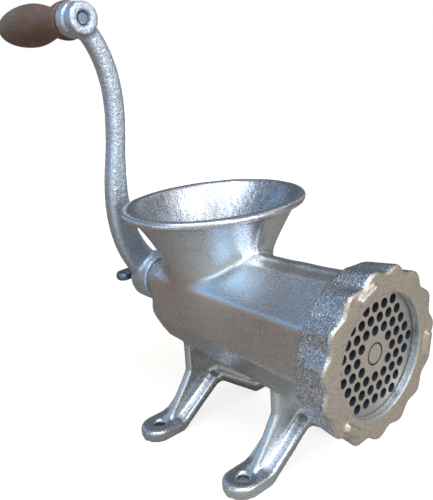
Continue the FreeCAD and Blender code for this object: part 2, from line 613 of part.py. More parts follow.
def wooden_grip():
    """Turned grip: flange, waist, bulb and tapered round end, bored for the spindle."""

    def spot(along, radius):
        return V(GRIP_FRONT_X - along, GRIP_Y, GRIP_Z + radius)

    lift = GRIP_EDGE_ROUND * math.sqrt(0.5)
    edge_middle = spot(GRIP_EDGE_ROUND - lift, GRIP_FLANGE_RADIUS - GRIP_EDGE_ROUND + lift)
    face_edge = spot(0, GRIP_FLANGE_RADIUS - GRIP_EDGE_ROUND)
    flange = spot(GRIP_EDGE_ROUND, GRIP_FLANGE_RADIUS)
    neck = spot(GRIP_NECK_FROM_FRONT, GRIP_NECK_RADIUS)
    bulb = spot(GRIP_BULB_FROM_FRONT, GRIP_BULB_RADIUS)
    waist = Part.BSplineCurve()
    waist.interpolate([flange, neck, bulb], InitialTangent=-X_AXIS, FinalTangent=-X_AXIS)

    tip_angle = math.asin(GRIP_TIP_RADIUS / GRIP_BULB_RADIUS)
    half_length = (GRIP_LENGTH - GRIP_BULB_FROM_FRONT) / math.cos(tip_angle)
    end = Part.Ellipse(spot(GRIP_BULB_FROM_FRONT + half_length, 0), bulb, spot(GRIP_BULB_FROM_FRONT, 0))
    tip = spot(GRIP_LENGTH, GRIP_TIP_RADIUS)
    bore_rear = spot(GRIP_LENGTH, GRIP_BORE_RADIUS)
    bore_front = spot(0, GRIP_BORE_RADIUS)
    wire = Part.Wire([
        Part.Arc(face_edge, edge_middle, flange).toShape(),
        waist.toShape(),
        Part.ArcOfEllipse(end, tip_angle, math.pi / 2).toShape(),
        Part.LineSegment(tip, bore_rear).toShape(),
        Part.LineSegment(bore_rear, bore_front).toShape(),
        Part.LineSegment(bore_front, face_edge).toShape(),
    ])
    return Part.Face(wire).revolve(V(0, GRIP_Y, GRIP_Z), X_AXIS, 360)


def grip_spindle():
    """Pin through the grip, riveted into the arm's top boss, with a domed head."""
    head_x = GRIP_REAR_X - END_WASHER_THICKNESS - 2 * FLAT_GAP
    pin = rod(SPINDLE_RADIUS, head_x, TOP_FRONT_X - TOP_HOLE_DEPTH + SPINDLE_RECESS, GRIP_Y, GRIP_Z)
    head = rod(SPINDLE_RADIUS + SPINDLE_HEAD_PROUD, head_x - SPINDLE_HEAD, head_x, GRIP_Y, GRIP_Z)
    head = head.makeFillet(SPINDLE_HEAD_ROUND, edges_at_x(head, head_x - SPINDLE_HEAD))
    return pin.fuse(head)


if __name__ == "__main__":
    os.makedirs("parts", exist_ok=True)
    save("grinder_body", grinder_body())
    save("rear_bush", sleeve(SHANK_RADIUS + RUN_GAP, BUSH_RADIUS, BOSS_REAR_X, BORE_REAR_X))
    thrust_front = BORE_REAR_X + FLAT_GAP + THRUST_WASHER_THICKNESS
    save("thrust_washer", sleeve(SHANK_RADIUS + SLIP_GAP, THRUST_WASHER_RADIUS,
                                 BORE_REAR_X + FLAT_GAP, thrust_front))
    save("plate_key", key_pin(0))
    save("grinding_plate", grinding_plate())
    save("ring_nut", ring_nut())
    save("cross_knife", cross_knife())
    save("knife_stud", knife_stud())
    save("feed_screw", feed_screw())
    save("crank_collar", sleeve(SHANK_RADIUS + FIT_GAP, COLLAR_RADIUS, HUB_FRONT_X, COLLAR_FRONT_X))
    save("crank_arm", crank_arm())
    washer_x = HUB_REAR_X - FLAT_GAP
    save("screw_washer", sleeve(SCREW_THREAD_RADIUS + SLIP_GAP, SCREW_WASHER_RADIUS,
                                washer_x - SCREW_WASHER_THICKNESS, washer_x))
    save("wing_screw", wing_screw())
    save("grip_spindle", grip_spindle())
    washer_x = TOP_REAR_X - FLAT_GAP
    save("grip_front_washer", sleeve(SPINDLE_RADIUS + FIT_GAP, GRIP_WASHER_RADIUS,
                                     washer_x - GRIP_WASHER_THICKNESS, washer_x, GRIP_Y, GRIP_Z))
    save("wooden_grip", wooden_grip())
    washer_x = GRIP_REAR_X - FLAT_GAP
    save("grip_end_washer", sleeve(SPINDLE_RADIUS + FIT_GAP, END_WASHER_RADIUS,
                                   washer_x - END_WASHER_THICKNESS, washer_x, GRIP_Y, GRIP_Z))
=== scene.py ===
"""Looks of a hand crank meat grinder: tinned castings, ground plate, pebbled crank, wooden grip."""
import logging
from dataclasses import dataclass
from enum import Enum
from typing import Any

import bmesh
import bpy
import numpy as np
from mathutils import Matrix, Vector, noise


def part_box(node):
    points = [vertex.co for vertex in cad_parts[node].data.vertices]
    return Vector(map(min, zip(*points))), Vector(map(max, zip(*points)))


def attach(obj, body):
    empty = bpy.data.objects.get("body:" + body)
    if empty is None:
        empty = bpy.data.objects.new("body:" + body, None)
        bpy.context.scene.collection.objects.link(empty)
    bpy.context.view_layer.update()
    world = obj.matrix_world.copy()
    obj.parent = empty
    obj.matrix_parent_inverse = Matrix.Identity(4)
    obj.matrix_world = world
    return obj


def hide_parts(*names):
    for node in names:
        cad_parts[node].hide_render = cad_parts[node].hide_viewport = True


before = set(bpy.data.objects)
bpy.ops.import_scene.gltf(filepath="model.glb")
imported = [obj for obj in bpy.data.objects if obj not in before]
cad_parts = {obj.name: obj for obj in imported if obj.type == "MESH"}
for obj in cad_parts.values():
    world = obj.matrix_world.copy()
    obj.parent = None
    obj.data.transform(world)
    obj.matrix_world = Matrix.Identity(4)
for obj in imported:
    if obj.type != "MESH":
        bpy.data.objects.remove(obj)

LOG = logging.getLogger("meat_grinder")
MM = 0.001
AXIS_Z = 0.110          # height of the barrel's axis above the table

MIX_SHARE, MIX_FIRST, MIX_SECOND, MIX_COLOUR = 0, 6, 7, 2   # sockets of Blender's colour mix
PATCH_RANGE = (0.3, 0.7)        # noise between which clean tin turns into duller tin
GRAIN_RANGE = (0.35, 0.65)      # the same for the tone of single grains
PAINTED_REFLECTION_SHARE = 0.85               # how much of a painted reflection's colour shows in its middle
GLINT_RANGE = (0.40, 0.25)      # distance from a grain's middle where its flash begins, and is full
GLINT_LUCK = 0.62               # grains with a random number above this one flash
# Painted shade: a dark colour, not metal, in the plate's holes and the gap round the stud.
PAINTED_SHADE_COLOUR = "#404756"
STAIN_MM = 1000 / 120           # size of the stains on machined metal
RING_TURN = 6.28                # the wave texture counts its rings in radians
FIBRE_STRETCH = (0.07, 1.0, 1.0)    # fibres run along the grip
FIBRE_RANGE = (0.3, 0.7)        # noise between which dark fibre turns into light fibre
CLOUD_MM = 1000 / 45            # size of the clouds in the wood's red end
RED_SHARE = 0.75
PORE_MM = 0.25
WELD = 1e-6                     # CAD corners closer than this are one corner
SOLE_Z = 0.4 * MM               # points below this are the feet's soles, which stay flat
SMOOTH_SHARE = 0.5              # share of the way to the neighbours' middle, per round of smoothing


class Flow(Enum):
    """Which way the tin ran off a casting as it cooled, as a scale of its patches' noise."""

    NONE = (1.0, 1.0, 1.0)
    DOWN = (1.0, 1.0, 0.10)     # ten times as long down the wall


# ---------------------------------------------------------------- nodes and colours


def colour(code: str) -> tuple[float, float, float, float]:
    """Turn an sRGB hex code into linear RGBA, by the sRGB standard's curve.

    Args:
        code: six hex digits after a hash sign.

    Returns:
        Linear red, green, blue and full alpha.
    """
    channels = [int(code[k:k + 2], 16) / 255 for k in (1, 3, 5)]
    linear = [c / 12.92 if c <= 0.04045 else ((c + 0.055) / 1.055) ** 2.4 for c in channels]
    return (linear[0], linear[1], linear[2], 1.0)


def add_node(tree: bpy.types.NodeTree, kind: str, inputs: dict[Any, Any] | None = None,
             **settings: Any) -> bpy.types.Node:
    """Add one shader node.

    Args:
        tree: node tree to add to.
        kind: Blender's name of the node type.
        inputs: socket name or number to a value, or to an output socket to link.
        settings: attributes of the node.

    Returns:
        The new node.
    """
    node = tree.nodes.new(kind)
    for name, value in settings.items():
        setattr(node, name, value)
    for key, value in (inputs or {}).items():
        if isinstance(value, bpy.types.NodeSocket):
            tree.links.new(value, node.inputs[key])
        else:
            node.inputs[key].default_value = value
    return node


def object_place(tree: bpy.types.NodeTree) -> bpy.types.NodeSocket:
    """Find where on the object a point is.

    Args:
        tree: node tree to add to.

    Returns:
        The point in the object's own metres.
    """
    return add_node(tree, "ShaderNodeTexCoord").outputs["Object"]


def mix(tree: bpy.types.NodeTree, share: Any, first: Any, second: Any) -> bpy.types.NodeSocket:
    """Blend two colours.

    Args:
        tree: node tree to add to.
        share: share of the second colour, as a number or a socket.
        first: colour at share 0, as RGBA or a socket.
        second: colour at share 1, as RGBA or a socket.

    Returns:
        The blended colour.
    """
    inputs = {MIX_SHARE: share, MIX_FIRST: first, MIX_SECOND: second}
    return add_node(tree, "ShaderNodeMix", inputs, data_type="RGBA").outputs[MIX_COLOUR]


def calculate(tree: bpy.types.NodeTree, operation: str, *values: Any,
              clamp: bool = False) -> bpy.types.NodeSocket:
    """Calculate with numbers.

    Args:
        tree: node tree to add to.
        operation: Blender's name of the operation.
        values: numbers or sockets.
        clamp: True to keep the result between 0 and 1.

    Returns:
        The result.
    """
    return add_node(tree, "ShaderNodeMath", dict(enumerate(values)), operation=operation,
                    use_clamp=clamp).outputs[0]


def ramp(tree: bpy.types.NodeTree, value: bpy.types.NodeSocket,
         source: tuple[float, float] = (0.0, 1.0), target: tuple[float, float] = (0.0, 1.0),
         kind: str = "LINEAR") -> bpy.types.NodeSocket:
    """Stretch one range of numbers to another, and hold it at the ends.

    Args:
        tree: node tree to add to.
        value: number to stretch.
        source: range that it comes from.
        target: range that it goes to.
        kind: Blender's name of the ramp's shape.

    Returns:
        The stretched number.
    """
    inputs = {"Value": value, "From Min": source[0], "From Max": source[1],
              "To Min": target[0], "To Max": target[1]}
    return add_node(tree, "ShaderNodeMapRange", inputs, interpolation_type=kind).outputs[0]


def speckle(tree: bpy.types.NodeTree, place: bpy.types.NodeSocket, size_mm: float, detail: float,
            roughness: float = 0.5, distortion: float = 0.0) -> bpy.types.NodeSocket:
    """Draw smooth noise.

    Args:
        tree: node tree to add to.
        place: point to draw it at.
        size_mm: size of its lumps.
        detail: how many finer layers it has.
        roughness: how strong the finer layers are.
        distortion: how much it swirls.

    Returns:
        Noise from 0 to 1.
    """
    inputs = {"Vector": place, "Scale": 1 / (size_mm * MM), "Detail": detail,
              "Roughness": roughness, "Distortion": distortion}
    return add_node(tree, "ShaderNodeTexNoise", inputs).outputs["Fac"]


def relief(tree: bpy.types.NodeTree, height: bpy.types.NodeSocket, depth_mm: float,
           below: bpy.types.NodeSocket | None = None) -> bpy.types.NodeSocket:
    """Tilt the surface as a relief would.

    Args:
        tree: node tree to add to.
        height: the relief's height, from 0 to 1.
        depth_mm: depth that a height of 1 stands for.
        below: normal of a broader relief under this one.

    Returns:
        The tilted normal.
    """
    inputs = {"Height": height, "Distance": depth_mm * MM, "Strength": 1.0}
    if below is not None:
        inputs["Normal"] = below
    return add_node(tree, "ShaderNodeBump", inputs).outputs[0]


def empty_material(name: str) -> tuple[bpy.types.Material, bpy.types.NodeTree]:
    """Start a material with no nodes.

    Args:
        name: the material's name.

    Returns:
        The material and its node tree.
    """
    material = bpy.data.materials.new(name)
    material.use_nodes = True
    material.node_tree.nodes.clear()
    return material, material.node_tree


def finish_material(tree: bpy.types.NodeTree, shader: bpy.types.Node) -> None:
    """Link a shader to the material's output.

    Args:
        tree: the material's node tree.
        shader: node whose first output is the surface.
    """
    add_node(tree, "ShaderNodeOutputMaterial", {"Surface": shader.outputs[0]})


# ---------------------------------------------------------------- finishes


@dataclass(frozen=True)
class CastFinish:
    """Cast iron dipped in tin: a bright soft skin over the sand mould's grain."""

    name: str
    light: str                          # clean tin
    dark: str                           # duller tin in the hollows and patches
    patch_mm: float                     # size of the patches of duller tin
    roughness: tuple[float, float]
    grain_mm: float                     # size of the grain, no finer than a picture shows it
    grain_depth_mm: float
    speck: float = 0.3                  # share of the tone that follows the grain, not the patches
    glint: float = 0.5                  # how bright the painted glints are: single grains turned white
    glint_mm: float = 2.0               # spacing of those grains, drawn coarser than real sand
    wave_mm: float = 14.0               # slow unevenness of a poured skin
    wave_depth_mm: float = 0.25
    flow: Flow = Flow.NONE
    painted_reflection: str = "#FFFFFF"               # painted reflection: a brighter tint where the metal should catch a bright reflection
    painted_reflections_mm: tuple[tuple[float, float, float, float], ...] = ()   # places and reaches of the painted reflections

    def painted_reflection_share(self, tree: bpy.types.NodeTree, place: bpy.types.NodeSocket) -> Any:
        """Measure how strongly the painted reflections show.

        Args:
            tree: the material's node tree.
            place: point to measure at.

        Returns:
            Share of the painted reflections' colour, which is 0 away from them.
        """
        painted_share: Any = 0.0
        for x, y, z, reach in self.painted_reflections_mm:
            away = add_node(tree, "ShaderNodeVectorMath",
                            {0: place, 1: (x * MM, y * MM, z * MM)}, operation="DISTANCE")
            near = ramp(tree, away.outputs["Value"], (0.0, reach * MM), (PAINTED_REFLECTION_SHARE, 0.0),
                        "SMOOTHSTEP")
            painted_share = calculate(tree, "MAXIMUM", near, painted_share)
        return painted_share

    def flash(self, tree: bpy.types.NodeTree,
              place: bpy.types.NodeSocket) -> bpy.types.NodeSocket:
        """Paint glints: turn single grains white.

        Args:
            tree: the material's node tree.
            place: point to draw at.

        Returns:
            Share of white for the painted glints, which is 0 between them.
        """
        sand = add_node(tree, "ShaderNodeTexVoronoi",
                        {"Vector": place, "Scale": 1 / (self.glint_mm * MM)})
        grains = ramp(tree, sand.outputs["Distance"], GLINT_RANGE, (0.0, self.glint))
        lucky = calculate(tree, "GREATER_THAN", sand.outputs["Color"], GLINT_LUCK)
        return calculate(tree, "MULTIPLY", grains, lucky)

    def make(self) -> bpy.types.Material:
        """Build the material.

        Returns:
            Metal whose tone and gloss change in patches, with grain in relief.
        """
        material, tree = empty_material(self.name)
        place = object_place(tree)
        run = add_node(tree, "ShaderNodeMapping",
                       {"Vector": place, "Scale": self.flow.value}).outputs[0]
        patch = speckle(tree, run, self.patch_mm, detail=4.0, roughness=0.6)
        grain = speckle(tree, place, self.grain_mm, detail=2.0, roughness=0.7)
        wave = speckle(tree, run, self.wave_mm, detail=1.0)
        dull = calculate(tree, "ADD",
                         ramp(tree, patch, PATCH_RANGE, (0.0, 1 - self.speck)),
                         ramp(tree, grain, GRAIN_RANGE, (0.0, self.speck)), clamp=True)
        tone = mix(tree, dull, colour(self.light), colour(self.dark))
        # Painted reflections: a brighter bluish tint where the metal should catch a bright
        # reflection.
        tone = mix(tree, self.painted_reflection_share(tree, place), tone, colour(self.painted_reflection))
        # Painted glints: single grains turned white.
        tone = mix(tree, self.flash(tree, place), tone, colour("#FFFFFF"))
        broad = relief(tree, wave, self.wave_depth_mm)
        shader = add_node(tree, "ShaderNodeBsdfPrincipled",
                          {"Base Color": tone, "Metallic": 1.0,
                           "Roughness": ramp(tree, dull, target=self.roughness),
                           "Normal": relief(tree, grain, self.grain_depth_mm, broad)})
        finish_material(tree, shader)
        return material


@dataclass(frozen=True)
class MachinedFinish:
    """Metal that a tool has cut or ground: even colour, faint tool marks."""

    name: str
    light: str
    dark: str
    roughness: float
    mark_mm: float                      # spacing of the tool marks
    mark_depth_mm: float
    hollow_mm: tuple[float, float] = (0.0, 0.0)     # stretch of the axis where the holes' walls get painted shade
    seam_mm: tuple[float, float] = (0.0, 0.0)       # radii between which a gap gets painted shade

    def painted_shade(self, tree: bpy.types.NodeTree, place: bpy.types.NodeSocket,
               turned: bpy.types.NodeSocket) -> bpy.types.NodeSocket:
        """Find where shade is painted: the holes' walls and a gap.

        Args:
            tree: the material's node tree.
            place: point on the object.
            turned: the same point, measured from the barrel's axis.

        Returns:
            1 where shade is painted, 0 on bare metal.
        """
        along = add_node(tree, "ShaderNodeSeparateXYZ", {"Vector": place}).outputs["X"]
        across = add_node(tree, "ShaderNodeVectorMath", {0: turned, 1: (0.0, 1.0, 1.0)},
                          operation="MULTIPLY").outputs[0]
        radius = add_node(tree, "ShaderNodeVectorMath", {0: across},
                          operation="LENGTH").outputs["Value"]
        seam, hollow = [
            calculate(tree, "COMPARE", value, (low + high) / 2 * MM, (high - low) / 2 * MM)
            for value, (low, high) in ((radius, self.seam_mm), (along, self.hollow_mm))]
        return calculate(tree, "MAXIMUM", seam, hollow)

    def make(self) -> bpy.types.Material:
        """Build the material.

        Returns:
            Metal with rings of tool marks round the barrel's axis.
        """
        material, tree = empty_material(self.name)
        place = object_place(tree)
        turned = add_node(tree, "ShaderNodeMapping",
                          {"Vector": place, "Location": (0.0, 0.0, -AXIS_Z)}).outputs[0]
        rings = add_node(tree, "ShaderNodeTexWave",
                         {"Vector": turned, "Scale": 1 / (RING_TURN * self.mark_mm * MM),
                          "Distortion": 3.0, "Detail": 2.0},
                         wave_type="RINGS", rings_direction="X").outputs["Fac"]
        stain = speckle(tree, place, STAIN_MM, detail=3.0)
        # Painted shade in the holes and the gap: a dark colour that is not metal.
        painted_shade = self.painted_shade(tree, place, turned)
        tone = mix(tree, stain, colour(self.light), colour(self.dark))
        shader = add_node(tree, "ShaderNodeBsdfPrincipled",
                          {"Base Color": mix(tree, painted_shade, tone, colour(PAINTED_SHADE_COLOUR)),
                           "Metallic": calculate(tree, "SUBTRACT", 1.0, painted_shade),
                           "Roughness": self.roughness,
                           "Normal": relief(tree, rings, self.mark_depth_mm)})
        finish_material(tree, shader)
        return material


@dataclass(frozen=True)
class WoodFinish:
    """Turned hardwood, oiled by use: grain along the grip, redder near the flange."""

    name: str
    light: str
    dark: str
    red: str
    grain_mm: float
    roughness: float
    red_x: tuple[float, float]          # where the red begins and is full, in metres along the grip

    def make(self) -> bpy.types.Material:
        """Build the material.

        Returns:
            Wood with long fibres and a warm end.
        """
        material, tree = empty_material(self.name)
        place = object_place(tree)
        long = add_node(tree, "ShaderNodeMapping",
                        {"Vector": place, "Scale": FIBRE_STRETCH}).outputs[0]
        fibre = speckle(tree, long, self.grain_mm, detail=5.0, roughness=0.65, distortion=0.4)
        cloud = speckle(tree, place, CLOUD_MM, detail=2.0)
        brown = mix(tree, ramp(tree, fibre, FIBRE_RANGE), colour(self.dark), colour(self.light))
        along = add_node(tree, "ShaderNodeSeparateXYZ", {"Vector": place}).outputs["X"]
        near = ramp(tree, along, self.red_x, (0.0, RED_SHARE))
        warm = calculate(tree, "MULTIPLY", near, cloud)
        shader = add_node(tree, "ShaderNodeBsdfPrincipled",
                          {"Base Color": mix(tree, warm, brown, colour(self.red)),
                           "Roughness": self.roughness,
                           "Normal": relief(tree, fibre, PORE_MM)})
        finish_material(tree, shader)
        return material


# Real sand is too fine to show at the picture's size, so grains are drawn about 1 mm or coarser.
TINNED_SKIN = CastFinish(
    # Bright silver with a fine sand grain, which softens reflections without hiding them. The
    # painted reflections, a brighter tint, are where hopper and barrel meet, and on the legs
    # towards the camera.
    "tinned_cast_iron_skin", light="#D0D2D5", dark="#B0B3B7", patch_mm=12.0,
    roughness=(0.22, 0.34), grain_mm=1.2, grain_depth_mm=0.20, speck=0.8, glint=0.5, glint_mm=1.3,
    painted_reflection="#E8F3FB", painted_reflections_mm=((8.0, -42.0, 152.0, 58.0), (56.0, -46.0, 44.0, 62.0),
                              (-46.0, -46.0, 44.0, 48.0)))
TINNED_HOPPER = CastFinish(
    # Wiped by the food: smoother, with streaks down the funnel's wall.
    "tinned_cast_iron_wiped_hopper", light="#D2D5D8", dark="#868C93", patch_mm=4.0,
    roughness=(0.20, 0.32), grain_mm=1.3, grain_depth_mm=0.34, speck=0.5, glint=0.4, glint_mm=1.3,
    wave_mm=4.5, wave_depth_mm=0.40, flow=Flow.DOWN)
TINNED_SKIRT = CastFinish(
    # Coarser sand on the ring's skirt, and strong painted glints, so that it glitters.
    "tinned_cast_iron_coarse_skirt", light="#DCE1E7", dark="#737A84", patch_mm=7.0,
    roughness=(0.18, 0.34), grain_mm=1.5, grain_depth_mm=0.60, speck=0.85, glint=0.9, glint_mm=1.3)
SANDY_FACE = CastFinish(
    # The ring's face is matt, beige grey and sandy, where the tin is rubbed thin.
    "tinned_cast_iron_rubbed_face", light="#CBC2B4", dark="#A39B8F", patch_mm=9.0,
    roughness=(0.40, 0.52), grain_mm=1.2, grain_depth_mm=0.30, speck=0.8, glint=0.2, glint_mm=1.3)
PEBBLED_CRANK = CastFinish(
    # Skin of the crank, and of the wall of the ring's opening: pebbled, and a little duller and
    # bluer than the body's.
    "tinned_cast_iron_pebbled_crank", light="#D8E2EC", dark="#A0ADBB", patch_mm=10.0,
    roughness=(0.38, 0.52), grain_mm=1.6, grain_depth_mm=0.50, speck=0.8, glint=0.3, glint_mm=1.4)
DARK_IRON = CastFinish(
    # Malleable iron with worn tin: dark grey, satin.
    "malleable_iron_worn", light="#909CAA", dark="#6A7480", patch_mm=6.0,
    roughness=(0.34, 0.48), grain_mm=0.9, grain_depth_mm=0.08, speck=0.5)
GROUND_STEEL = MachinedFinish(
    # Hardened plate, ground flat: even beige grey with a dull sheen, and painted shade in its holes
    # and in the gap round the stud.
    "hardened_steel_ground_plate", light="#CCC5BA", dark="#B3ACA1", roughness=0.42,
    mark_mm=1.2, mark_depth_mm=0.01, hollow_mm=(113.9, 123.2), seam_mm=(6.6, 8.1))
TURNED_STEEL = MachinedFinish(
    # Turned steel: brighter, with fine rings.
    "machined_steel_turned", light="#C8CACC", dark="#A9ACB0", roughness=0.30,
    mark_mm=1.2, mark_depth_mm=0.02)
TURNED_BRONZE = MachinedFinish(
    # Bearing bronze, warm and smooth.
    "bearing_bronze_turned", light="#C09A5E", dark="#9A7740", roughness=0.32,
    mark_mm=1.2, mark_depth_mm=0.02)
OILED_WOOD = WoodFinish(
    # Brown hardwood, greyed by hands, redder by the flange where it is less worn.
    "hardwood_turned_oiled", light="#7A624F", dark="#584335", red="#764D33",
    grain_mm=2.4, roughness=0.52, red_x=(-0.185, -0.145))


# ---------------------------------------------------------------- meshes


def read(items: bpy.types.bpy_prop_collection, name: str, width: int,
         kind: type = np.float64) -> np.ndarray:
    """Read one attribute of many mesh items.

    Args:
        items: vertices, edges or polygons.
        name: attribute to read.
        width: numbers per item.
        kind: number type.

    Returns:
        One row per item.
    """
    values = np.empty(len(items) * width, kind)
    items.foreach_get(name, values)
    return values.reshape(-1, width)


def add_object(name: str, data: bpy.types.ID) -> bpy.types.Object:
    """Put a mesh, lamp or camera in the scene.

    Args:
        name: the object's name.
        data: what the object shows.

    Returns:
        The new object.
    """
    piece = bpy.data.objects.new(name, data)
    bpy.context.scene.collection.objects.link(piece)
    return piece


def add_board(name: str, width: float, depth: float) -> bpy.types.Object:
    """Add a flat rectangle round the origin.

    Args:
        name: the board's name.
        width: size along X in metres.
        depth: size along Y in metres.

    Returns:
        The new object.
    """
    w, d = width / 2, depth / 2
    mesh = bpy.data.meshes.new(name)
    mesh.from_pydata([(-w, -d, 0), (w, -d, 0), (w, d, 0), (-w, d, 0)], [], [(0, 1, 2, 3)])
    return add_object(name, mesh)


def even_mesh(node: str, grid: float) -> bpy.types.Mesh:
    """Rebuild a CAD node's surface on an even grid.

    Args:
        node: CAD node to copy.
        grid: grid step in metres.

    Returns:
        Closed mesh of even faces.
    """
    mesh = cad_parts[node].data.copy()
    welded = bmesh.new()
    welded.from_mesh(mesh)
    bmesh.ops.remove_doubles(welded, verts=welded.verts, dist=WELD)
    welded.to_mesh(mesh)
    welded.free()
    rough = add_object(node + "_rough", mesh)
    remesh = rough.modifiers.new("grid", "REMESH")
    remesh.mode = "VOXEL"
    remesh.voxel_size = grid
    view = bpy.context.evaluated_depsgraph_get()
    even = bpy.data.meshes.new_from_object(rough.evaluated_get(view))
    bpy.data.objects.remove(rough)
    bpy.data.meshes.remove(mesh)
    return even


def soften(mesh: bpy.types.Mesh, edge_passes: int, fillet_passes: int,
           fillet_zone: np.ndarray) -> None:
    """Round a casting's edges, and fill its inside corners in a zone.

    Args:
        mesh: mesh to change.
        edge_passes: rounds of smoothing for the whole mesh.
        fillet_passes: rounds for the hollow corners in the zone.
        fillet_zone: True for each vertex whose inside corner is filled.
    """
    count = len(mesh.vertices)
    points = read(mesh.vertices, "co", 3)
    normals = read(mesh.vertices, "normal", 3)
    pairs = read(mesh.edges, "vertices", 2, np.int32)
    degree = np.bincount(pairs.ravel(), minlength=count)[:, None]
    on_table = points[:, 2] < SOLE_Z
    for step in range(max(edge_passes, fillet_passes)):
        sums = [np.bincount(pairs[:, 0], points[pairs[:, 1], k], count)
                + np.bincount(pairs[:, 1], points[pairs[:, 0], k], count) for k in range(3)]
        move = np.stack(sums, 1) / degree - points
        moving = fillet_zone & (np.einsum("ij,ij->i", move, normals) > 0)
        if step < edge_passes:
            moving[:] = True
        move[on_table, 2] = 0
        points[moving] += SMOOTH_SHARE * move[moving]
    mesh.vertices.foreach_set("co", points.ravel())
    mesh.update()


def push(mesh: bpy.types.Mesh, heights: np.ndarray) -> None:
    """Move every vertex along its normal.

    Args:
        mesh: mesh to change.
        heights: how far each vertex moves outward, in metres.
    """
    points = read(mesh.vertices, "co", 3)
    normals = read(mesh.vertices, "normal", 3)
    mesh.vertices.foreach_set("co", (points + normals * heights[:, None]).ravel())
    mesh.update()


def roughen(mesh: bpy.types.Mesh, size: float, depth: float, seed: float) -> None:
    """Push a mesh in and out by smooth noise.

    Args:
        mesh: mesh to change.
        size: size of the bumps in metres.
        depth: half the height of the bumps in metres.
        seed: offset of the noise, so that pieces differ.
    """
    points = read(mesh.vertices, "co", 3)
    offset = Vector((seed, 0.0, 0.0))
    heights = np.array([noise.noise(Vector(p) / size + offset) for p in points])
    heights[points[:, 2] < SOLE_Z] = 0
    push(mesh, heights * depth)


# ---------------------------------------------------------------- sub-assemblies


@dataclass
class Casting:
    """A cast piece, rebuilt from its CAD node with soft edges and a grainy skin."""

    node: str
    body: str
    slot: str
    grid_mm: float
    edge_passes: int
    fillet_passes: int
    bump_mm: float                      # size of the skin's real bumps
    bump_depth_mm: float

    def fillet_zone(self, points: np.ndarray) -> np.ndarray:
        """Choose where inside corners are filled.

        Args:
            points: vertex places.

        Returns:
            True where a fillet grows.
        """
        return np.ones(len(points), bool)

    def finishes(self) -> list[CastFinish]:
        """List the piece's finishes.

        Returns:
            Finishes in the order of their face numbers.
        """
        return [TINNED_SKIN]

    def face_finish(self, centres: np.ndarray, normals: np.ndarray) -> np.ndarray:
        """Number the finish of each face.

        Args:
            centres: face centres.
            normals: face normals.

        Returns:
            Number of the finish of each face.
        """
        return np.zeros(len(centres), np.int32)

    def detail(self, mesh: bpy.types.Mesh) -> None:
        """Add what is special to this casting.

        Args:
            mesh: mesh to change.
        """

    def build(self) -> bpy.types.Object:
        """Make the piece and put it in its node's place.

        Returns:
            The dressed piece.
        """
        mesh = even_mesh(self.node, self.grid_mm * MM)
        soften(mesh, self.edge_passes, self.fillet_passes,
               self.fillet_zone(read(mesh.vertices, "co", 3)))
        self.detail(mesh)
        roughen(mesh, self.bump_mm * MM, self.bump_depth_mm * MM, float(len(self.node)))
        mesh.materials.clear()
        for finish in self.finishes():
            mesh.materials.append(finish.make())
        numbers = self.face_finish(read(mesh.polygons, "center", 3),
                                   read(mesh.polygons, "normal", 3))
        mesh.polygons.foreach_set("material_index", numbers.astype(np.int32))
        mesh.polygons.foreach_set("use_smooth", np.ones(len(mesh.polygons), bool))
        piece = add_object(self.node + "_cast", mesh)
        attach(piece, self.body)
        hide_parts(self.node)
        return piece


